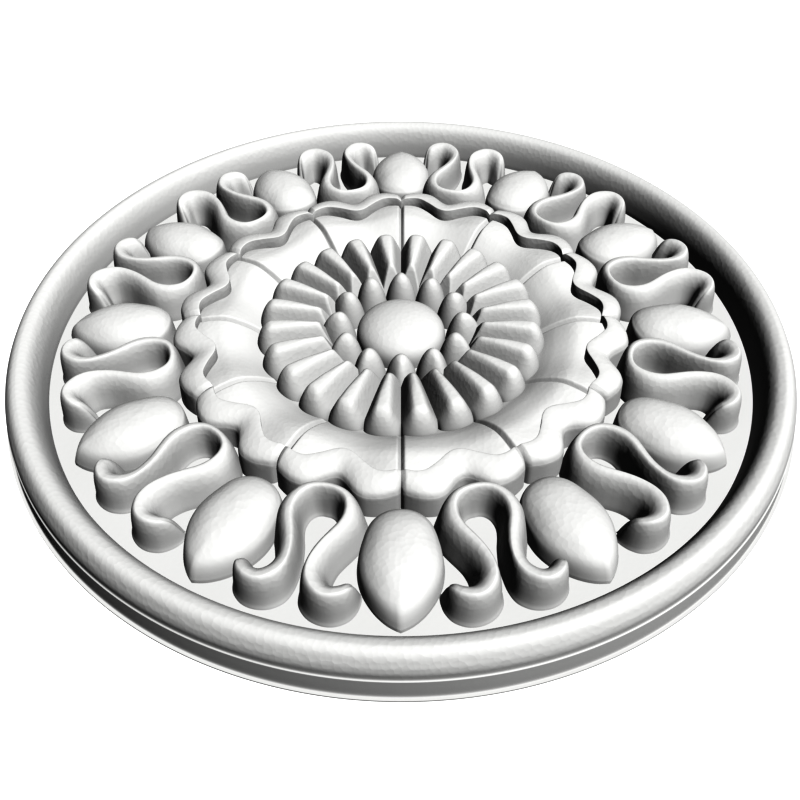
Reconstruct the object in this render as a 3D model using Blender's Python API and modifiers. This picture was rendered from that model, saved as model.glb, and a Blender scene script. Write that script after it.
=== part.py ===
# Carved rosette: a round applique, 200 mm across, that lies on its flat back with its face up.
# The origin is the middle of the back, and +Z points out of the face.
# From the outside in, the relief is a rolled rim, a ring of eggs with ribbons between them, a flower
# of twelve petals, a ring of rays, twelve buds and a dome. All of it is carved from one block.
# Profiles are (radius, height) pairs in millimetres, with heights above the floor of the relief.
# Angles are in degrees, and the direction -Y, at 270 degrees, is the one the face is seen from.

import math

import bmesh
import bpy
from mathutils import Matrix

MM = 0.001
FLOOR = 2.0             # thickness of the plate under the floor of the relief
SUNK = -1.0             # carved forms reach this far below the floor, inside the plate
FRONT = 270.0           # direction of the petal joint nearest the viewer
SECTOR = 30.0           # one petal, one egg and one ribbon
SECTORS = 12
TURN_STEPS = 60         # steps of the turned plate
SHORT_EDGE = 0.1        # shorter edges, where two forms meet, are closed up
FLAT_ANGLE = 5.7        # faces that bend less than this at their edge become one

# Plate and rolled rim, from the floor over the roll, down the plain band and the side to the thin
# flange round the back
RIM_PROFILE = (
    (88.80, 0.00), (89.45, 4.50), (90.60, 7.30), (92.00, 8.95), (93.70, 9.60), (95.20, 9.20),
    (96.35, 8.00), (97.40, 5.80), (97.55, 3.60), (97.85, 3.40), (98.30, -1.65), (99.10, -1.65),
    (99.10, -FLOOR),
)

DOME_PROFILE = ((0.0, 8.75), (4.2, 8.25), (8.2, 6.20), (10.7, 3.00), (11.45, 0.0))
DOME_STEPS = 20

# Eggs: half of the plan, as (distance from the middle, half width), from the tip inwards
EGG_PLAN = (
    (85.8, 0.0), (83.6, 3.6), (79.7, 6.7), (75.5, 8.5), (70.5, 9.0), (64.0, 7.7), (60.2, 5.0),
    (58.7, 0.0),
)
EGG_CROWN = 69.0        # distance of the crown from the middle
EGG_HEIGHT = 8.45
EGG_WALL = 3.0          # short steep wall round the foot of the egg
EGG_INNER_WALL = 4.8    # and at its inner end, in front of the flower
EGG_INNER_END = 62.0
EGG_RINGS = (0.98, 0.80, 0.45)

# Ribbons: right half of one, from the middle of its bow down the leg to the tip of the hook.
# A station holds the ridge (across, out, height), the foot inside the loop and the foot outside.
RIBBON_STATIONS = (
    ((0.00, 57.50, 8.95), (0.00, 59.80), (0.00, 55.20)),
    ((2.60, 57.95, 8.95), (1.10, 59.85), (4.20, 55.60)),
    ((5.60, 60.90, 8.95), (3.00, 61.50), (9.20, 59.50)),
    ((6.25, 64.00, 8.95), (3.45, 64.00), (10.40, 63.60)),
    ((4.95, 68.80, 8.95), (2.00, 68.60), (8.70, 69.30)),
    ((3.10, 73.20, 8.95), (0.70, 73.60), (7.00, 73.20)),
    ((2.50, 77.70, 8.95), (0.60, 79.60), (6.70, 76.40)),
    ((4.00, 81.10, 8.95), (2.90, 84.00), (7.10, 77.50)),
    ((7.20, 82.95, 8.90), (7.80, 85.45), (7.80, 78.00)),
    ((9.60, 82.20, 8.75), (11.10, 84.20), (8.20, 78.00)),
    ((11.40, 80.40, 8.10), (13.10, 81.60), (8.90, 77.60)),
    ((11.90, 78.60, 6.00), (13.50, 78.90), (10.20, 76.80)),
    ((11.80, 77.50, 3.00), (13.30, 77.20), (11.00, 76.30)),
    ((11.70, 76.70, -1.00), (12.90, 76.20), (11.40, 76.00)),
)
RIBBON_RIDGE = 0.90     # half width of the rounded ridge
RIBBON_LEAN = 0.5       # each ribbon stands this many degrees further from the viewer than mid petal

# Flower: raised wavy lip round twelve petals
LIP_HEIGHT = 8.95
LIP_CUSP_HEIGHT = 8.20
LIP_CUSP = 51.0         # radius of the lip's edge at a petal joint
LIP_LOBE = 52.0         # and on the lobes beside the joint
LIP_MIDDLE = 47.0       # and at the middle of a petal
LOBE_ANGLE = 5.5        # angle of a lobe from the joint
LIP_FOOT_CUSP = 55.3
LIP_FOOT_LOBE = 57.8
LIP_FOOT_MIDDLE = 53.5
FOOT_LOBE_ANGLE = 7.0   # the lobes are widest here at their foot
LIP_BACK = ((0.92, 5.20), (0.62, 7.80))   # share of the way to the foot, height
PETAL_PROFILE = (
    (34.3, SUNK), (36.0, 2.30), (37.6, 3.65), (39.5, 4.95), (42.3, 6.35), (44.3, 7.05),
    (46.6, 7.25), (49.6, 6.95), (51.9, 6.40),
)
PETAL_ROWS = (42.8, 38.8, 36.0)
PETAL_DISH = 1.85               # how much lower a petal is at its middle, near the lip
PETAL_DISH_START = 35.0         # radius where the dish begins
PETAL_DISH_LENGTH = 12.0
GROOVE_HALF_WIDTH = 0.8         # groove between two petals
GROOVE_DEPTH = 1.3
PETAL_ANGLES = (-12.0, -8.5, -4.5, -1.0, 0.0, 1.0, 4.5, 8.5, 12.0, 15.0)

# Rays: (radius, height) along the ridge and along the valley beside it, from the outside in
RAYS = 24
RAY_SHOULDER = 0.36             # share of the half width that the rounded ridge takes
RAY_STATIONS = (
    ((35.4, SUNK), (34.4, SUNK), SUNK),
    ((34.0, 6.60), (33.9, 1.80), 5.60),
    ((33.1, 8.50), (33.3, 3.60), 7.50),
    ((31.4, 9.40), (32.2, 3.90), 8.30),
    ((28.0, 9.10), (28.0, 3.80), 8.10),
    ((22.6, 8.40), (22.6, 3.30), 7.30),
    ((21.2, 7.60), (21.0, 2.90), 6.30),
    ((17.8, 1.40), (17.6, 1.00), 1.30),
    ((17.0, SUNK), (17.0, SUNK), SUNK),
)

# Buds: rounded cones with a tail that runs out between the rays
BUD_RADIUS = 15.5
BUD_HALF_WIDTH = 3.9
BUD_HEIGHT = 8.9
BUD_TAIL = 8.5
BUD_TAIL_RISE = 3.0     # the tail's tip lies this high, in the valley between two rays
BUD_SIDES = 8
BUD_RINGS = ((0.40, 0.85), (0.80, 0.52), (1.0, 0.0))    # share of the radius, share of the height


def remove_all_objects():
    for thing in list(bpy.data.objects):
        bpy.data.objects.remove(thing, do_unlink=True)


def new_collection(name):
    collection = bpy.data.collections.new(name)
    bpy.context.scene.collection.children.link(collection)
    return collection


def at(radius, degrees, height):
    """Point of the relief in metres, from a radius, a direction and a height above the floor."""
    turn = math.radians(degrees)
    return (
        radius * math.cos(turn) * MM,
        radius * math.sin(turn) * MM,
        (height + FLOOR) * MM,
    )


def add_object(name, mesh, collection):
    thing = bpy.data.objects.new(name, mesh)
    collection.objects.link(thing)
    return thing


def finish_mesh(name, shape):
    """A mesh from the bmesh, with its faces turned outwards."""
    bmesh.ops.remove_doubles(shape, verts=shape.verts, dist=0.001 * MM)
    bmesh.ops.recalc_face_normals(shape, faces=shape.faces)
    mesh = bpy.data.meshes.new(name)
    shape.to_mesh(mesh)
    shape.free()
    return mesh


def bridge(shape, first, second, closed):
    """Quads between two rows of vertices, which meet end to start if closed."""
    count = len(first)
    for i in range(count if closed else count - 1):
        j = (i + 1) % count
        shape.faces.new((first[i], first[j], second[j], second[i]))


def copies_round(name, mesh, angles):
    """One mesh that holds a copy of the given one at each angle."""
    shape = bmesh.new()
    for degrees in angles:
        copy = mesh.copy()
        copy.transform(Matrix.Rotation(math.radians(degrees), 4, "Z"))
        shape.from_mesh(copy)
        bpy.data.meshes.remove(copy)
    bpy.data.meshes.remove(mesh)
    return finish_mesh(name, shape)


def turned(name, profile, steps, collection):
    """A turned solid: the profile runs from the axis down the outer side and back to the axis."""
    mesh = bpy.data.meshes.new(name)
    points = [at(radius, 0.0, height) for radius, height in profile]
    edges = [(i, i + 1) for i in range(len(points) - 1)]
    mesh.from_pydata(points, edges, [])
    thing = add_object(name, mesh, collection)
    screw = thing.modifiers.new("Turn", "SCREW")
    screw.steps = steps
    screw.render_steps = steps
    screw.use_merge_vertices = True
    screw.merge_threshold = 0.00001
    return thing


def make_plate(collection):
    profile = ((0.0, 0.0),) + RIM_PROFILE + ((0.0, -FLOOR),)
    return turned("rosette", profile, TURN_STEPS, collection)


def make_dome(collection):
    profile = DOME_PROFILE + ((DOME_PROFILE[-1][0], SUNK), (0.0, SUNK))
    return turned("dome", profile, DOME_STEPS, collection)


def egg_height(share, out):
    """Height of an egg, a share of the way from its crown to the outline's point at this distance."""
    wall = EGG_WALL if out > EGG_INNER_END else EGG_INNER_WALL
    return wall + (EGG_HEIGHT - wall) * math.sqrt(1.0 - share * share)


def make_eggs(collection):
    """Loft of the egg's plan from its foot to its crown, copied round the rosette."""
    left = tuple((out, -across) for out, across in reversed(EGG_PLAN[1:-1]))
    plan = EGG_PLAN + left
    shape = bmesh.new()
    rows = [[shape.verts.new((out * MM, across * MM, (SUNK + FLOOR) * MM)) for out, across in plan]]
    for share in EGG_RINGS:
        row = []
        for out, across in plan:
            row.append(shape.verts.new((
                (EGG_CROWN + share * (out - EGG_CROWN)) * MM,
                share * across * MM,
                (egg_height(share, out) + FLOOR) * MM)))
        rows.append(row)
    for lower, upper in zip(rows, rows[1:]):
        bridge(shape, lower, upper, closed=True)
    crown = shape.verts.new((EGG_CROWN * MM, 0.0, (EGG_HEIGHT + FLOOR) * MM))
    top = rows[-1]
    for i, corner in enumerate(top):
        shape.faces.new((corner, top[(i + 1) % len(top)], crown))
    shape.faces.new(rows[0])
    angles = [FRONT + SECTOR * i for i in range(SECTORS)]
    return add_object("eggs", copies_round("eggs", finish_mesh("egg", shape), angles), collection)


def ribbon_section(ridge, inner, outer):
    """Four points across a ribbon, its two feet sunk along the slope of its sides."""
    across, out, top = ridge
    width = math.hypot(outer[0] - inner[0], outer[1] - inner[1])
    aside = RIBBON_RIDGE / width
    step = ((outer[0] - inner[0]) * aside, (outer[1] - inner[1]) * aside)
    sink = 1.0 - SUNK / top if top > 0.0 else 1.0
    inner_foot = (across + (inner[0] - across) * sink, out + (inner[1] - out) * sink, SUNK)
    outer_foot = (across + (outer[0] - across) * sink, out + (outer[1] - out) * sink, SUNK)
    inner_ridge = (across - step[0], out - step[1], top)
    outer_ridge = (across + step[0], out + step[1], top)
    return (inner_foot, inner_ridge, outer_ridge, outer_foot)


def make_ribbons(collection):
    """Loft of half a ribbon, mirrored on its own axis and copied round the rosette."""
    shape = bmesh.new()
    rows = []
    for ridge, inner, outer in RIBBON_STATIONS:
        section = ribbon_section(ridge, inner, outer)
        rows.append([shape.verts.new((x * MM, y * MM, (z + FLOOR) * MM)) for x, y, z in section])
    for first, second in zip(rows, rows[1:]):
        bridge(shape, first, second, closed=True)
    shape.faces.new(rows[-1])
    half = add_object("half ribbon", finish_mesh("half ribbon", shape), collection)
    mirror = half.modifiers.new("Mirror", "MIRROR")
    mirror.use_axis = (True, False, False)
    mirror.merge_threshold = 0.00001
    bpy.context.view_layer.update()
    whole = bpy.data.meshes.new_from_object(half.evaluated_get(bpy.context.evaluated_depsgraph_get()))
    bpy.data.objects.remove(half, do_unlink=True)
    angles = []
    for i in range(SECTORS // 2):
        right = FRONT + SECTOR * (i + 0.5) + RIBBON_LEAN
        angles.append(right - 90.0)
        angles.append(2.0 * FRONT - right - 90.0)
    return add_object("ribbons", copies_round("ribbons", whole, angles), collection)


def lip_edge(degrees):
    """Radius of the lip's upper edge, which waves between the petal joints."""
    turn = abs(degrees)
    if turn < LOBE_ANGLE:
        return LIP_CUSP + (LIP_LOBE - LIP_CUSP) * math.sin(math.pi / 2.0 * turn / LOBE_ANGLE)
    middle = (LIP_LOBE + LIP_MIDDLE) / 2.0
    swing = (LIP_LOBE - LIP_MIDDLE) / 2.0
    return middle + swing * math.cos(math.pi * (turn - LOBE_ANGLE) / (SECTOR / 2.0 - LOBE_ANGLE))


def lip_foot(degrees):
    """Radius of the lip's outer foot, which rises sharply on both sides of a joint."""
    turn = abs(degrees)
    if turn < FOOT_LOBE_ANGLE:
        share = math.sqrt(turn / FOOT_LOBE_ANGLE)
        return LIP_FOOT_CUSP + (LIP_FOOT_LOBE - LIP_FOOT_CUSP) * share
    middle = (LIP_FOOT_LOBE + LIP_FOOT_MIDDLE) / 2.0
    swing = (LIP_FOOT_LOBE - LIP_FOOT_MIDDLE) / 2.0
    share = (turn - FOOT_LOBE_ANGLE) / (SECTOR / 2.0 - FOOT_LOBE_ANGLE)
    return middle + swing * math.cos(math.pi * share)


def profile_height(profile, radius):
    """Height of a profile at a radius, on the straight between its points."""
    for (inner, low), (outer, high) in zip(profile, profile[1:]):
        if radius <= outer:
            return low + (high - low) * (radius - inner) / (outer - inner)
    return profile[-1][1]


def petal_point(radius, degrees):
    """Point of a petal: dished across its width, with a V groove at each joint."""
    height = profile_height(PETAL_PROFILE, radius)
    if degrees == 0.0:
        height -= GROOVE_DEPTH
    elif abs(degrees) <= 1.0:
        degrees *= math.degrees(GROOVE_HALF_WIDTH / radius)
    start = min(max((radius - PETAL_DISH_START) / PETAL_DISH_LENGTH, 0.0), 1.0)
    across = abs(degrees) / (SECTOR / 2.0)
    height -= PETAL_DISH * start * math.sin(math.pi / 2.0 * across) ** 2
    return radius, degrees, height


def flower_column(degrees):
    """Section of the flower ring in one direction, from the outer foot over the lip to the rays."""
    edge = lip_edge(degrees)
    foot = lip_foot(degrees)
    top = LIP_CUSP_HEIGHT if degrees == 0.0 else LIP_HEIGHT
    column = [(foot, degrees, SUNK)]
    for share, height in LIP_BACK:
        column.append((edge + (foot - edge) * share, degrees, height - (LIP_HEIGHT - top) * 0.5))
    column.append((edge, degrees, top))
    for radius in (edge, (edge + PETAL_ROWS[0]) / 2.0) + PETAL_ROWS:
        column.append(petal_point(radius, degrees))
    column.append((PETAL_PROFILE[0][0], degrees, SUNK))
    return column


def make_flower(collection):
    """Ring of sections, which follow the petals round the rosette."""
    shape = bmesh.new()
    columns = []
    for i in range(SECTORS):
        for degrees in PETAL_ANGLES:
            points = flower_column(degrees)
            middle = FRONT + SECTOR * i
            columns.append([shape.verts.new(at(r, middle + turn, z)) for r, turn, z in points])
    for i, column in enumerate(columns):
        bridge(shape, column, columns[(i + 1) % len(columns)], closed=True)
    return add_object("flower", finish_mesh("flower", shape), collection)


def make_rays(collection):
    """Ring of sections: valley, shoulder, ridge and shoulder for each ray."""
    shape = bmesh.new()
    pitch = 360.0 / RAYS
    shoulder_turn = RAY_SHOULDER * pitch / 2.0
    columns = []
    for i in range(RAYS):
        middle = FRONT + pitch * (i + 0.5)
        ridge = [at(r, middle, z) for (r, z), _, _ in RAY_STATIONS]
        valley = [at(r, middle - pitch / 2.0, z) for _, (r, z), _ in RAY_STATIONS]
        columns.append(valley)
        columns.append([at(r, middle - shoulder_turn, z) for (r, _), _, z in RAY_STATIONS])
        columns.append(ridge)
        columns.append([at(r, middle + shoulder_turn, z) for (r, _), _, z in RAY_STATIONS])
    rows = [[shape.verts.new(point) for point in column] for column in columns]
    for i, row in enumerate(rows):
        bridge(shape, row, rows[(i + 1) % len(rows)], closed=True)
    return add_object("rays", finish_mesh("rays", shape), collection)


def make_buds(collection):
    """Rounded cones, drawn out to a tail on the outer side."""
    shape = bmesh.new()
    apex = shape.verts.new((BUD_RADIUS * MM, 0.0, (BUD_HEIGHT + FLOOR) * MM))
    rows = []
    for share, rise in BUD_RINGS + ((1.0, SUNK / BUD_HEIGHT),):
        row = []
        for i in range(BUD_SIDES):
            turn = 2.0 * math.pi * i / BUD_SIDES
            reach = BUD_HALF_WIDTH
            height = rise * BUD_HEIGHT
            if i == 0:
                reach = BUD_HALF_WIDTH + (BUD_TAIL - BUD_HALF_WIDTH) * share
                height += BUD_TAIL_RISE * share if rise >= 0.0 else 0.0
            row.append(shape.verts.new((
                (BUD_RADIUS + share * reach * math.cos(turn)) * MM,
                share * reach * math.sin(turn) * MM,
                (height + FLOOR) * MM)))
        rows.append(row)
    for i, corner in enumerate(rows[0]):
        shape.faces.new((corner, rows[0][(i + 1) % BUD_SIDES], apex))
    for upper, lower in zip(rows, rows[1:]):
        bridge(shape, upper, lower, closed=True)
    shape.faces.new(rows[-1])
    angles = [FRONT + SECTOR * i for i in range(SECTORS)]
    return add_object("buds", copies_round("buds", finish_mesh("bud", shape), angles), collection)


def make_finish():
    finish = bpy.data.materials.new("white primed wood")
    finish.use_nodes = True
    shader = finish.node_tree.nodes["Principled BSDF"]
    shader.inputs["Base Color"].default_value = (0.80, 0.80, 0.79, 1.0)
    shader.inputs["Roughness"].default_value = 0.55
    shader.inputs["Metallic"].default_value = 0.0
    return finish


def build():
    remove_all_objects()
    parts = new_collection("carved rosette")
    helpers = new_collection("carved forms")
    rosette = make_plate(parts)
    forms = [make_flower(helpers), make_rays(helpers), make_dome(helpers)]
    forms += [make_buds(helpers), make_eggs(helpers), make_ribbons(helpers)]
    for form in forms:
        form.hide_render = True
        form.display_type = "WIRE"
    union = rosette.modifiers.new("Join the carved forms", "BOOLEAN")
    union.operation = "UNION"
    union.solver = "EXACT"
    union.operand_type = "COLLECTION"
    union.collection = helpers
    weld = rosette.modifiers.new("Close the short edges", "WELD")
    weld.merge_threshold = SHORT_EDGE * MM
    plain = rosette.modifiers.new("Clear the flat faces", "DECIMATE")
    plain.decimate_type = "DISSOLVE"
    plain.angle_limit = math.radians(FLAT_ANGLE)
    rosette.data.materials.append(make_finish())


build()
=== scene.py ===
import math
import bmesh
import bpy
import numpy as np
from mathutils import Matrix, Vector


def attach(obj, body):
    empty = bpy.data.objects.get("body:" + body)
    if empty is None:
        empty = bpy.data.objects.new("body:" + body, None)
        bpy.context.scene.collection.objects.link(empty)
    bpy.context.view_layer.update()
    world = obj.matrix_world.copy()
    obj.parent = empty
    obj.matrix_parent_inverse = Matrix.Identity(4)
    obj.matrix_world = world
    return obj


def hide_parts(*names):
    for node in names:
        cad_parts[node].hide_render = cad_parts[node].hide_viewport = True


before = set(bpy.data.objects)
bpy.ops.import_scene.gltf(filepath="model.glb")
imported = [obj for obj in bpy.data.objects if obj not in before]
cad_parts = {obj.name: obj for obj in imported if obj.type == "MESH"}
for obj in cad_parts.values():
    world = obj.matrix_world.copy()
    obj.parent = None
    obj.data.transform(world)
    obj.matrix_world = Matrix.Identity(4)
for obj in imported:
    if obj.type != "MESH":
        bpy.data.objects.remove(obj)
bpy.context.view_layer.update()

mm = 0.001
floorLevel = 2.0    # mm from the back to the floor of the relief, as in the CAD
sunk = -1.0         # the carved forms start this far below that floor
front = 270.0       # direction of the petal joint nearest the viewer
sector = 30.0       # one petal, one egg, one ribbon
sectors = 12
weld = 0.002        # mm, points nearer than this are merged
ballCut = -0.05     # a ball of radius 1 is cut here, just below its middle
ballFoot = -0.01    # its points below this are its foot


def deselectAll():
    if bpy.context.mode != "OBJECT":
        bpy.ops.object.mode_set(mode="OBJECT")
    bpy.ops.object.select_all(action="DESELECT")


def named(name):
    piece = bpy.context.object
    piece.name = name
    piece.data.name = name
    return piece


def smoothLine(points, steps=20, before=None):
    # denser points on a Catmull-Rom line through the given ones
    pts = np.array(points, float)
    first = 2 * pts[0] - pts[1] if before is None else np.array(before, float)
    ends = np.vstack([first, pts, 2 * pts[-1] - pts[-2]])
    line = []
    for i in range(len(pts) - 1):
        a, b, c, d = ends[i:i + 4]
        for k in range(steps):
            t = k / steps
            bend = (2 * a - 5 * b + 4 * c - d) * t ** 2 + (3 * b - 3 * c + d - a) * t ** 3
            line.append(0.5 * (2 * b + (c - a) * t + bend))
    line.append(pts[-1])
    return np.array(line)


def reading(points):
    # a function that reads the smooth line through (place, value) points
    line = smoothLine(points)
    return lambda place: float(np.interp(place, line[:, 0], line[:, 1]))


def reshape(piece, place):
    # every point of the primitive goes where the piece's formula says, in mm above the floor
    for vertex in piece.data.vertices:
        x, y, z = place(vertex.co)
        vertex.co = Vector((x, y, z + floorLevel)) * mm
    piece.data.update()


def copyRound(piece, turns):
    # one copy for each turn, each with its own mesh, joined to the first
    copies = []
    for turn in turns[1:]:
        copy = piece.copy()
        copy.data = piece.data.copy()
        copy.data.transform(Matrix.Rotation(math.radians(turn), 4, "Z"))
        bpy.context.collection.objects.link(copy)
        copies.append(copy)
    piece.data.transform(Matrix.Rotation(math.radians(turns[0]), 4, "Z"))
    deselectAll()
    for copy in copies:
        copy.select_set(True)
    piece.select_set(True)
    bpy.context.view_layer.objects.active = piece
    bpy.ops.object.join()
    return piece


def halfBall(name, sizes, place):
    # the upper half of a ball, closed below, which the formula then presses to shape
    deselectAll()
    bpy.ops.mesh.primitive_uv_sphere_add(
        segments=sizes["segments"], ring_count=sizes["rings"], radius=1.0)
    piece = named(name)
    bpy.ops.object.mode_set(mode="EDIT")
    bpy.ops.mesh.select_all(action="SELECT")
    bpy.ops.mesh.bisect(
        plane_co=(0, 0, ballCut), plane_no=(0, 0, -1), clear_outer=True, use_fill=True)
    bpy.ops.object.mode_set(mode="OBJECT")
    reshape(piece, place)
    return piece


def ringOf(name, columns, rows, place):
    # a grid that is bent round until its sides meet; settle merges the sides
    deselectAll()
    bpy.ops.mesh.primitive_grid_add(x_subdivisions=columns, y_subdivisions=rows, size=2.0)
    piece = named(name)
    reshape(piece, lambda point: place(round((point.x + 1.0) / 2.0 * columns) % columns,
                                       round((point.y + 1.0) / 2.0 * rows) % rows))
    return piece


def settle(piece, finish, sharpAngle):
    # smooth shading, finish and body; the piece stands for the carved solid
    deselectAll()
    piece.select_set(True)
    bpy.context.view_layer.objects.active = piece
    bpy.ops.object.mode_set(mode="EDIT")
    bpy.ops.mesh.select_all(action="SELECT")
    bpy.ops.mesh.remove_doubles(threshold=weld * mm)
    bpy.ops.mesh.normals_make_consistent(inside=False)
    bpy.ops.object.mode_set(mode="OBJECT")
    bpy.ops.object.shade_smooth_by_angle(angle=math.radians(sharpAngle))
    piece.data.materials.clear()
    piece.data.materials.append(finish)
    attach(piece, "root")
    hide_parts("rosette")
    piece.visible_diffuse = False       # in the photograph the forms don't light each other
    print(piece.name, len(piece.data.polygons), "faces")


# plate with its rolled rim: a thin disc whose top face is drawn up ring by ring
plate = {
    "sides": 360,
    "edge": 99.1,           # radius of the thin flange
    "lip": 0.35,            # height of its edge
    "flange": ((99.1, -1.65), (98.6, -1.65), (98.45, -1.64)),
    "side": ((98.45, -1.64), (98.33, -1.5), (98.22, -1.0), (98.1, 0.8), (97.9, 3.3)),
    "quirk": ((97.75, 3.45), (97.58, 3.6), (97.52, 4.3), (97.5, 5.2)),
    "roll": ((97.36, 5.8), (97.05, 6.7), (96.6, 7.55), (96.17, 8.27), (95.69, 8.84), (95.12, 9.26),
             (94.46, 9.5), (93.6, 9.55), (92.0, 9.0), (90.7, 7.5), (89.6, 4.8), (88.95, 1.5),
             (88.8, 0.0)),
    "sideSteps": 4, "quirkSteps": 2, "rollSteps": 4,
    "sharpAngle": 30.0,
}


def turnUp(points, radius, height):
    # the selected round face is extruded and drawn in or out, from point to point
    for nextRadius, nextHeight in points:
        rise = (nextHeight - height) * mm
        bpy.ops.mesh.extrude_region_move(TRANSFORM_OT_translate={"value": (0, 0, rise)})
        share = nextRadius / radius
        bpy.ops.transform.resize(value=(share, share, 1.0), center_override=(0.0, 0.0, 0.0))
        radius, height = nextRadius, nextHeight
    return radius, height


def selectCap(piece):
    bpy.ops.mesh.select_all(action="DESELECT")
    shape = bmesh.from_edit_mesh(piece.data)
    cap = max(shape.faces, key=lambda face: face.calc_center_median().z)
    cap.select_set(True)
    bmesh.update_edit_mesh(piece.data)


def makePlate(finish):
    deselectAll()
    bpy.ops.mesh.primitive_cylinder_add(
        vertices=plate["sides"], radius=plate["edge"] * mm, depth=plate["lip"] * mm,
        end_fill_type="NGON", location=(0, 0, plate["lip"] / 2 * mm))
    piece = named("plateAndRim")
    bpy.ops.object.transform_apply(location=True, rotation=True, scale=True)
    bpy.ops.object.mode_set(mode="EDIT")
    selectCap(piece)
    radius, height = turnUp(plate["flange"][1:], *plate["flange"][0])
    for stretch in ("side", "quirk", "roll"):
        line = smoothLine(plate[stretch], plate[stretch + "Steps"])
        radius, height = turnUp([(float(r), float(z)) for r, z in line], radius, height)
    bpy.ops.object.mode_set(mode="OBJECT")
    settle(piece, finish, plate["sharpAngle"])


# one egg: half a ball, pressed to the egg's plan
egg = {
    "middle": 67.5,     # distance of its foot's middle from the middle of the rosette
    "shift": 1.67,      # the crown lies this much further out
    "soften": 4.3,      # the tip is this much blunter at the crown than at the foot
    "softenTurn": 11.0,
    "softenGrowth": 0.57,
    # degrees round the egg, from its tip, and the reach of its foot there
    "plan": ((0.0, 18.3), (8.0, 17.2), (17.0, 15.75), (29.0, 13.9), (44.0, 12.05), (60.0, 10.45),
             (78.0, 9.1), (97.0, 8.4), (115.0, 8.4), (137.0, 8.75), (160.0, 8.85), (180.0, 8.8)),
    # share of the way from the crown to the foot, and height: at the tip, the sides, the inner end
    "tip": ((0.0, 8.45), (0.35, 8.15), (0.6, 7.27), (0.8, 5.8), (0.9, 4.6), (0.96, 2.95), (1.0, 1.0)),
    "side": ((0.0, 8.45), (0.35, 8.1), (0.6, 7.35), (0.8, 6.1), (0.9, 5.0), (0.96, 3.8), (1.0, 0.9)),
    "inner": ((0.0, 8.45), (0.35, 8.2), (0.6, 7.7), (0.8, 6.8), (0.9, 5.9), (0.96, 4.7), (1.0, 0.0)),
    "segments": 120, "rings": 68,
    "sharpAngle": 50.0,
}


def makeEggs(finish):
    reach, tip, side, inner = (reading(egg[part]) for part in ("plan", "tip", "side", "inner"))

    def place(point):
        share = 1.0 if point.z < ballFoot else min(math.hypot(point.x, point.y), 1.0)
        turn = math.atan2(point.y, point.x)
        away = abs(math.degrees(turn))
        blunt = egg["soften"] * math.exp(-(away / egg["softenTurn"]) ** 2)
        radius = (reach(away) - blunt * (1.0 - share ** egg["softenGrowth"])) * share
        along = math.cos(turn) ** 2
        end = tip(share) if away < 90.0 else inner(share)
        height = sunk if point.z < ballFoot else side(share) * (1.0 - along) + end * along
        x = egg["middle"] + egg["shift"] * (1.0 - share ** 2) + radius * math.cos(turn)
        return x, radius * math.sin(turn), height

    piece = halfBall("eggs", egg, place)
    copyRound(piece, [front + sector * i for i in range(sectors)])
    settle(piece, finish, egg["sharpAngle"])


# one ribbon: a strip along its ridge, the same on both sides of its own middle line.
# a station holds the ridge (across, out, height), the foot inside the loop and the foot outside
ribbon = {
    "stations": (
        ((0.00, 57.50, 8.95), (0.00, 59.80), (0.00, 55.20)),
        ((2.60, 57.95, 8.95), (1.10, 59.85), (4.20, 55.60)),
        ((4.50, 59.10, 8.95), (2.20, 60.40), (7.20, 57.40)),
        ((5.80, 61.30, 8.95), (3.15, 61.80), (9.50, 60.20)),
        ((6.25, 64.00, 8.95), (3.45, 64.00), (10.40, 63.60)),
        ((5.90, 66.50, 8.95), (2.90, 66.30), (9.70, 66.80)),
        ((4.95, 68.80, 8.95), (2.00, 68.60), (8.70, 69.30)),
        ((3.95, 70.90, 8.95), (1.30, 71.00), (7.80, 71.20)),
        ((3.10, 73.20, 8.95), (0.70, 73.60), (7.00, 73.20)),
        ((2.55, 75.60, 8.95), (0.50, 76.60), (6.65, 75.20)),
        ((2.50, 77.70, 8.95), (0.60, 79.60), (6.70, 76.40)),
        ((3.10, 79.70, 8.95), (1.40, 82.30), (6.90, 77.00)),
        ((4.20, 81.30, 8.95), (3.20, 84.20), (7.20, 77.50)),
        ((5.60, 82.50, 8.95), (5.30, 85.20), (7.50, 77.80)),
        ((7.20, 82.95, 8.90), (7.80, 85.45), (7.80, 78.00)),
        ((9.00, 82.55, 8.85), (10.20, 84.80), (8.10, 78.10)),
        ((10.60, 81.50, 8.60), (12.30, 83.10), (8.50, 77.90)),
        ((11.60, 80.00, 7.90), (13.30, 80.90), (9.20, 77.40)),
        ((11.90, 78.60, 6.00), (13.50, 78.90), (10.20, 76.80)),
        ((11.80, 77.50, 3.00), (13.30, 77.20), (11.00, 76.30)),
        ((11.70, 76.70, 0.00), (12.90, 76.20), (11.40, 76.00)),
    ),
    # share of the way from the ridge to the foot, and share of the ridge's height
    "inner": ((0.0, 1.0), (0.2, 0.995), (0.42, 0.91), (0.65, 0.65), (0.85, 0.14), (1.0, 0.0)),
    "outer": ((0.0, 1.0), (0.2, 0.97), (0.42, 0.87), (0.65, 0.66), (0.85, 0.30), (1.0, 0.0)),
    "along": 210,
    "across": 30,
    "crowding": 1.2,    # above 1 the strip's lines stand closer at its ridge
    "lean": 0.5,        # each stands this much further from the viewer than the middle of its petal
    "steps": 24,        # of the smooth line between two stations
    "skirt": 1.0,       # the strip's border is drawn down this far, and then stands below the floor
    "sharpAngle": 50.0,
}


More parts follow.
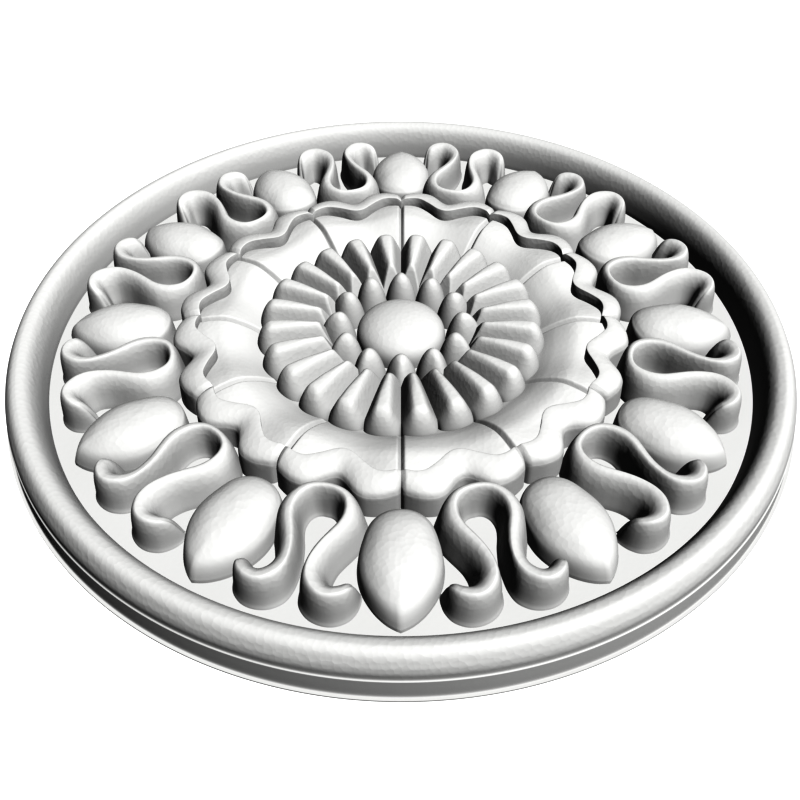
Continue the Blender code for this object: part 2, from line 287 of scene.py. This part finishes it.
def makeRibbons(finish):
    rows = [list(ridge) + list(inner) + list(outer) for ridge, inner, outer in ribbon["stations"]]
    # the line comes from the other side of the strip, where the values across are negative
    mirrored = [value * side for value, side in zip(rows[1], (-1, 1, 1, -1, 1, -1, 1))]
    route = smoothLine(rows, ribbon["steps"], mirrored)
    lengths = np.concatenate([[0.0], np.cumsum(np.hypot(*np.diff(route[:, :2], axis=0).T))])
    lengths /= lengths[-1]
    inner, outer = reading(ribbon["inner"]), reading(ribbon["outer"])

    def place(point):
        ridgeX, ridgeY, top, innerX, innerY, outerX, outerY = [
            float(np.interp(abs(point.x), lengths, column)) for column in route.T]
        share = abs(point.y) ** ribbon["crowding"]
        footX, footY = (innerX, innerY) if point.y < 0 else (outerX, outerY)
        fall = inner(share) if point.y < 0 else outer(share)
        x = math.copysign(ridgeX + (footX - ridgeX) * share, point.x)
        y = ridgeY + (footY - ridgeY) * share
        height = sunk if point.z < -ribbon["skirt"] / 2.0 else max(top * fall, 0.0)
        return y, -x, height

    deselectAll()
    bpy.ops.mesh.primitive_grid_add(
        x_subdivisions=ribbon["along"], y_subdivisions=ribbon["across"], size=2.0)
    piece = named("ribbons")
    bpy.ops.object.mode_set(mode="EDIT")
    bpy.ops.mesh.select_all(action="SELECT")
    bpy.ops.mesh.extrude_region_move(TRANSFORM_OT_translate={"value": (0, 0, -ribbon["skirt"])})
    bpy.ops.mesh.dissolve_faces()       # its underside, out of sight, is one face
    bpy.ops.object.mode_set(mode="OBJECT")
    reshape(piece, place)
    turns = []
    for i in range(sectors // 2):
        right = front + sector * (i + 0.5) + ribbon["lean"]
        turns += [right, 2.0 * front - right]
    copyRound(piece, turns)
    settle(piece, finish, ribbon["sharpAngle"])


# flower: a ring whose section changes with the direction, from the lip's foot to the rays
flower = {
    "columns": 60,          # for each petal
    # share of its columns and degrees from the joint: they stand closer where the groove is
    "spread": ((0.0, 0.0), (0.2, 0.8), (0.35, 1.9), (0.6, 6.0), (1.0, 15.0)),
    # degrees from a joint between two petals, and radius of the lip's edge and of its outer foot
    "edge": ((0.0, 51.04), (1.6, 51.45), (3.0, 51.78), (4.3, 51.87), (5.6, 51.72), (6.9, 51.2),
             (9.6, 49.5), (12.0, 47.9), (13.7, 47.2), (15.0, 47.03), (16.3, 47.2)),
    "foot": ((0.0, 55.1), (0.7, 56.1), (2.1, 56.8), (3.5, 57.34), (4.8, 57.7), (6.5, 57.9), (8.3, 57.8),
             (10.2, 56.9), (12.5, 54.8), (13.8, 53.85), (15.0, 53.5), (16.2, 53.85)),
    "lipHeight": 8.95, "cuspHeight": 8.20,
    "cuspWidth": 1.2,
    # share of the way from the edge to the foot, and share of the lip's height
    "lipBack": ((0.0, 1.0), (0.13, 1.0), (0.32, 0.98), (0.51, 0.94), (0.67, 0.89), (0.80, 0.83),
                (0.88, 0.77), (0.935, 0.68), (0.96, 0.58), (1.0, 0.0)),
    "petal": ((33.0, 0.95), (34.3, 1.45), (36.0, 2.45), (37.6, 3.65), (39.55, 4.95), (42.3, 6.35),
              (44.3, 7.05), (45.9, 7.25), (47.3, 7.2), (49.6, 6.95), (51.9, 6.4), (52.6, 6.2)),
    "dish": 1.85, "dishStart": 35.0, "dishLength": 12.0,
    "grooveHalf": 0.80, "grooveSteepness": 1.6, "grooveRounding": 0.25,
    "arris": 0.15, "arrisMiddle": 0.05,     # the lip's edge is rounded over this much
    "backSteps": 3, "petalRows": 40,
    "inner": 33.0, "innerSlant": 0.1,
    "sharpAngle": 40.0,
}


def flowerSection(turn, lines, backLine):
    # (radius, height) points from the outer foot over the lip and the petal to the inner foot
    away = abs(turn)
    edge, foot = lines["edge"](away), lines["foot"](away)
    arris, middle = flower["arris"], flower["arrisMiddle"]
    nearJoint = max(0.0, 1.0 - away / flower["cuspWidth"])
    top = flower["lipHeight"] - (flower["lipHeight"] - flower["cuspHeight"]) * nearJoint
    points = [(foot, sunk)]
    for share, rise in reversed(backLine):
        points.append((edge + arris + (foot - edge - arris) * share, top * rise))
    points.append((edge + middle, top - middle))
    points.append((edge, top - arris))
    for k in range(flower["petalRows"]):
        radius = edge - (edge - flower["inner"]) * k / (flower["petalRows"] - 1)
        points.append((radius, petalHeight(radius, away, lines["petal"])))
    points.append((flower["inner"] - flower["innerSlant"], sunk))
    return points


def petalHeight(radius, away, heights):
    height = heights(radius)
    start = min(max((radius - flower["dishStart"]) / flower["dishLength"], 0.0), 1.0)
    height -= flower["dish"] * start * math.sin(math.pi / 2.0 * away / (sector / 2.0)) ** 2
    # a V groove, with its edges rounded a little
    inside = flower["grooveHalf"] - radius * math.radians(away)
    rounding = flower["grooveRounding"]
    if inside > rounding:
        height -= flower["grooveSteepness"] * inside
    elif inside > -rounding:
        height -= flower["grooveSteepness"] * (inside + rounding) ** 2 / (4.0 * rounding)
    return height


def makeFlower(finish):
    lines = {part: reading(flower[part]) for part in ("edge", "foot", "petal", "spread")}
    backLine = [(float(share), float(rise))
                for share, rise in smoothLine(flower["lipBack"], flower["backSteps"])]
    columns = flower["columns"]
    sections = {}
    for k in range(-columns // 2, columns // 2 + 1):
        turn = math.copysign(lines["spread"](abs(k) / (columns / 2)), k)
        sections[k] = (turn, flowerSection(turn, lines, backLine))
    rows = len(sections[0][1])

    def place(column, row):
        petal, k = divmod(column + columns // 2, columns)
        turn, points = sections[k - columns // 2]
        radius, height = points[row]
        angle = math.radians(front + petal * sector + turn)
        return radius * math.cos(angle), radius * math.sin(angle), height

    settle(ringOf("flower", columns * sectors, rows, place), finish, flower["sharpAngle"])


# rays: a ring of rounded ridges with a sloping inner end
rays = {
    "count": 24, "columns": 36,
    # radius, and height of the ridge and of the valley between two rays
    "ridge": ((16.5, 8.1), (19.5, 8.25), (22.5, 8.5), (26.0, 8.95), (29.0, 9.1), (32.0, 9.2),
              (38.0, 9.2)),
    "valley": ((16.5, 2.4), (19.0, 2.7), (22.6, 3.0), (26.5, 3.2), (33.0, 3.4), (38.0, 3.4)),
    # share of the way from the ridge to the valley, and share of the ridge's height over it:
    # the ridge is sharp at its inner end and full further out
    "sharp": ((0.0, 1.0), (0.16, 0.955), (0.32, 0.84), (0.50, 0.65), (0.75, 0.335), (1.0, 0.0)),
    "full": ((0.0, 1.0), (0.16, 0.992), (0.32, 0.955), (0.50, 0.80), (0.75, 0.41), (1.0, 0.0)),
    "sharpRadius": 19.0, "fullRadius": 29.0,
    "outer": 36.9, "outerValley": 34.0, "planPower": 1.8,
    "foot": 3.0, "valleyFoot": 0.8, "footSlant": 0.05,
    "noseStart": 32.6, "nosePower": 2.2, "noseRoundness": 0.8,
    "noseCrowding": 1.7,    # above 1 the nose's rows stand closer at its foot, where it is steep
    "hip": (17.6, 0.85, 2.3), "hipRounding": 1.3,      # sloping inner end: radius, height and slope
    "hipStep": 0.02,        # of the search for its upper end
    "inner": 17.4, "innerSlant": 0.1, "lowest": 0.1,
    "noseRows": 24, "topRows": 16, "hipRows": 12,
    "sharpAngle": 40.0,
}


def lower(first, second, rounding):
    # the lower of two heights, rounded where they cross
    near = max(rounding - abs(first - second), 0.0) / rounding
    return min(first, second) - near * near * rounding / 4.0


def raysSection(share, lines):
    # (radius, height) points of a ray, a share of the way from its ridge to the valley
    bulge = math.sqrt(1.0 - share ** rays["planPower"])
    outer = rays["outerValley"] + (rays["outer"] - rays["outerValley"]) * bulge
    foot = rays["valleyFoot"] + (rays["foot"] - rays["valleyFoot"]) * bulge
    hipRadius, hipHeight, hipSlope = rays["hip"]
    noseStart = rays["noseStart"]
    sharp, full = lines["sharp"](share), lines["full"](share)

    def top(radius):
        out = (radius - rays["sharpRadius"]) / (rays["fullRadius"] - rays["sharpRadius"])
        rise = sharp + (full - sharp) * min(max(out, 0.0), 1.0)
        low = lines["valley"](radius)
        side = low + (lines["ridge"](radius) - low) * rise
        end = min(max((radius - noseStart) / (outer - noseStart), 0.0), 1.0)
        fall = (1.0 - end ** rays["nosePower"]) ** rays["noseRoundness"]
        return foot + (side - foot) * fall if end > 0.0 else side

    def height(radius):
        return lower(top(radius), hipHeight + (radius - hipRadius) * hipSlope, rays["hipRounding"])

    hipTop = hipRadius
    while hipHeight + (hipTop - hipRadius) * hipSlope < top(hipTop):
        hipTop += rays["hipStep"]
    stops = []
    for k in range(rays["noseRows"]):
        stops.append(outer - (outer - noseStart) * (k / rays["noseRows"]) ** rays["noseCrowding"])
    for k in range(rays["topRows"]):
        stops.append(noseStart - (noseStart - hipTop) * k / rays["topRows"])
    for k in range(rays["hipRows"] + 1):
        stops.append(hipTop - (hipTop - rays["inner"]) * k / rays["hipRows"])
    points = [(outer + rays["footSlant"], sunk)]
    points += [(radius, max(height(radius), rays["lowest"])) for radius in stops]
    points.append((rays["inner"] - rays["innerSlant"], sunk))
    return points


def makeRays(finish):
    lines = {part: reading(rays[part]) for part in ("ridge", "valley", "sharp", "full")}
    columns = rays["columns"]
    pitch = 360.0 / rays["count"]
    # a ray's columns run from the valley on one side over the ridge to the next valley
    sections = [raysSection(abs(k / (columns / 2) - 1.0), lines) for k in range(columns)]
    rows = len(sections[0])

    def place(column, row):
        radius, height = sections[column % columns][row]
        angle = math.radians(front + column * pitch / columns)
        return radius * math.cos(angle), radius * math.sin(angle), height

    settle(ringOf("rays", columns * rays["count"], rows, place), finish, rays["sharpAngle"])


# buds: rounded cones between the rays and the dome, drawn out towards the valley behind each
bud = {
    "radius": 15.7, "height": 8.95,
    "halfWidth": 4.2,
    "tail": 5.5, "tailPower": 6,
    "power": 2.1, "roundness": 0.8,
    "segments": 48, "rings": 56,
    "sharpAngle": 50.0,
}


def roundedHeight(form, point):
    # height over the floor of a bud or of the dome, by the share of the way from its middle
    if point.z <= ballFoot:
        return sunk
    share = min(math.hypot(point.x, point.y), 1.0)
    return form["height"] * (1.0 - share ** form["power"]) ** form["roundness"]


def makeBuds(finish):
    def place(point):
        turn = math.atan2(point.y, point.x)
        outward = max(0.0, math.cos(turn)) ** bud["tailPower"]
        reach = bud["halfWidth"] + (bud["tail"] - bud["halfWidth"]) * outward
        reach *= min(math.hypot(point.x, point.y), 1.0)
        return bud["radius"] + reach * math.cos(turn), reach * math.sin(turn), roundedHeight(bud, point)

    piece = halfBall("buds", bud, place)
    copyRound(piece, [front + sector * i for i in range(sectors)])
    settle(piece, finish, bud["sharpAngle"])


dome = {
    "radius": 11.5, "height": 8.1,
    "power": 1.93, "roundness": 0.30,
    "segments": 96, "rings": 128,
    "sharpAngle": 60.0,
}


def makeDome(finish):
    def place(point):
        return dome["radius"] * point.x, dome["radius"] * point.y, roundedHeight(dome, point)

    settle(halfBall("dome", dome, place), finish, dome["sharpAngle"])


# sizes in metres, as the object's own coordinates are
wood = {
    "pale": (0.672, 0.672, 0.668, 1.0), "dull": (0.645, 0.645, 0.640, 1.0),
    "cloudScale": 45.0,
    "roughness": 0.65, "specular": 0.2,
    "facetScale": 830.0, "facetDepth": 0.00005,     # flats of a small gouge, 1.2 mm across
    "facetPower": 2.0,
    "facetFrom": 0.005, "facetTo": 0.009,       # they grow over this height, and the walls have none
    "streakScale": 900.0, "streakLength": (1.0, 1.0, 0.15), "streakDepth": 0.000015,
}


def makePrimedWood():
    finish = bpy.data.materials.new("primedWood")
    finish.use_nodes = True
    nodes, links = finish.node_tree.nodes, finish.node_tree.links
    shader = nodes["Principled BSDF"]
    shader.inputs["Roughness"].default_value = wood["roughness"]
    shader.inputs["Specular IOR Level"].default_value = wood["specular"]
    place = nodes.new("ShaderNodeTexCoord")
    # the primer lies a little unevenly
    cloud = nodes.new("ShaderNodeTexNoise")
    cloud.inputs["Scale"].default_value = wood["cloudScale"]
    tone = nodes.new("ShaderNodeMix")
    tone.data_type = "RGBA"
    tone.inputs["A"].default_value = wood["dull"]
    tone.inputs["B"].default_value = wood["pale"]
    links.new(place.outputs["Object"], cloud.inputs["Vector"])
    links.new(cloud.outputs["Fac"], tone.inputs["Factor"])
    links.new(tone.outputs["Result"], shader.inputs["Base Color"])
    # small flats of the carver's gouge
    facets = nodes.new("ShaderNodeTexVoronoi")
    facets.inputs["Scale"].default_value = wood["facetScale"]
    squared = nodes.new("ShaderNodeMath")
    squared.operation = "POWER"
    squared.inputs[1].default_value = wood["facetPower"]
    split = nodes.new("ShaderNodeSeparateXYZ")
    high = nodes.new("ShaderNodeMapRange")
    high.inputs["From Min"].default_value = wood["facetFrom"]
    high.inputs["From Max"].default_value = wood["facetTo"]
    masked = nodes.new("ShaderNodeMath")
    masked.operation = "MULTIPLY"
    flats = nodes.new("ShaderNodeBump")
    flats.inputs["Distance"].default_value = wood["facetDepth"]
    links.new(place.outputs["Object"], facets.inputs["Vector"])
    links.new(place.outputs["Object"], split.inputs["Vector"])
    links.new(split.outputs["Z"], high.inputs["Value"])
    links.new(facets.outputs["Distance"], squared.inputs[0])
    links.new(squared.outputs["Value"], masked.inputs[0])
    links.new(high.outputs["Result"], masked.inputs[1])
    links.new(masked.outputs["Value"], flats.inputs["Height"])
    # fine streaks down the walls
    stretch = nodes.new("ShaderNodeMapping")
    stretch.inputs["Scale"].default_value = wood["streakLength"]
    streaks = nodes.new("ShaderNodeTexNoise")
    streaks.inputs["Scale"].default_value = wood["streakScale"]
    grain = nodes.new("ShaderNodeBump")
    grain.inputs["Distance"].default_value = wood["streakDepth"]
    links.new(place.outputs["Object"], stretch.inputs["Vector"])
    links.new(stretch.outputs["Vector"], streaks.inputs["Vector"])
    links.new(streaks.outputs["Fac"], grain.inputs["Height"])
    links.new(flats.outputs["Normal"], grain.inputs["Normal"])
    links.new(grain.outputs["Normal"], shader.inputs["Normal"])
    return finish


stage = {"size": 4.0, "drop": 0.0001, "paint": (0.9, 0.9, 0.9, 1.0), "roughness": 0.9}     # metres


def makeStage():
    deselectAll()
    bpy.ops.mesh.primitive_plane_add(size=stage["size"], location=(0, 0, -stage["drop"]))
    ground = named("paleFloor")
    bpy.ops.object.transform_apply(location=True, rotation=True, scale=True)
    paint = bpy.data.materials.new("paleFloorPaint")
    paint.use_nodes = True
    shader = paint.node_tree.nodes["Principled BSDF"]
    shader.inputs["Base Color"].default_value = stage["paint"]
    shader.inputs["Roughness"].default_value = stage["roughness"]
    ground.data.materials.append(paint)
    ground.visible_diffuse = False      # its own bounce would wash out the shade of the carving
    ground.visible_glossy = False


camera = {
    "lens": 41.4504, "sensor": 36.0,
    "place": (-0.24, -178.56, 163.91),      # mm, above the middle of the back
    "down": 45.975,             # degrees below the horizon
    "roll": 0.107,
    "nearest": 0.01,            # metres
}


def makeCamera():
    eye = bpy.data.cameras.new("photoCamera")
    eye.lens = camera["lens"]
    eye.sensor_width = camera["sensor"]
    eye.clip_start = camera["nearest"]
    view = bpy.data.objects.new("photoCamera", eye)
    bpy.context.scene.collection.objects.link(view)
    turn = Matrix.Rotation(math.radians(90.0 - camera["down"]), 4, "X")
    roll = Matrix.Rotation(math.radians(camera["roll"]), 4, "Z")
    view.matrix_world = Matrix.Translation(Vector(camera["place"]) * mm) @ turn @ roll
    bpy.context.scene.camera = view


# the photograph's tones follow the slope only: one sun without shadows, and next to no other light
light = {"energy": 5.0, "angle": 2.0, "from": (0.34, -0.34, 0.88), "world": 0.03}


def makeLights():
    key = bpy.data.lights.new("key", "SUN")
    key.energy = light["energy"]
    key.angle = math.radians(light["angle"])
    key.use_shadow = False
    lamp = bpy.data.objects.new("key", key)
    lamp.rotation_euler = Vector(light["from"]).to_track_quat("Z", "Y").to_euler()
    bpy.context.scene.collection.objects.link(lamp)
    world = bpy.data.worlds.new("studio")
    world.use_nodes = True
    background = world.node_tree.nodes["Background"]
    background.inputs["Color"].default_value = (1.0, 1.0, 1.0, 1.0)
    background.inputs["Strength"].default_value = light["world"]
    bpy.context.scene.world = world
    bpy.context.scene.view_settings.view_transform = "Raw"


primedWood = makePrimedWood()
makePlate(primedWood)
makeEggs(primedWood)
makeRibbons(primedWood)
makeFlower(primedWood)
makeRays(primedWood)
makeBuds(primedWood)
makeDome(primedWood)
makeStage()
makeLights()
makeCamera()
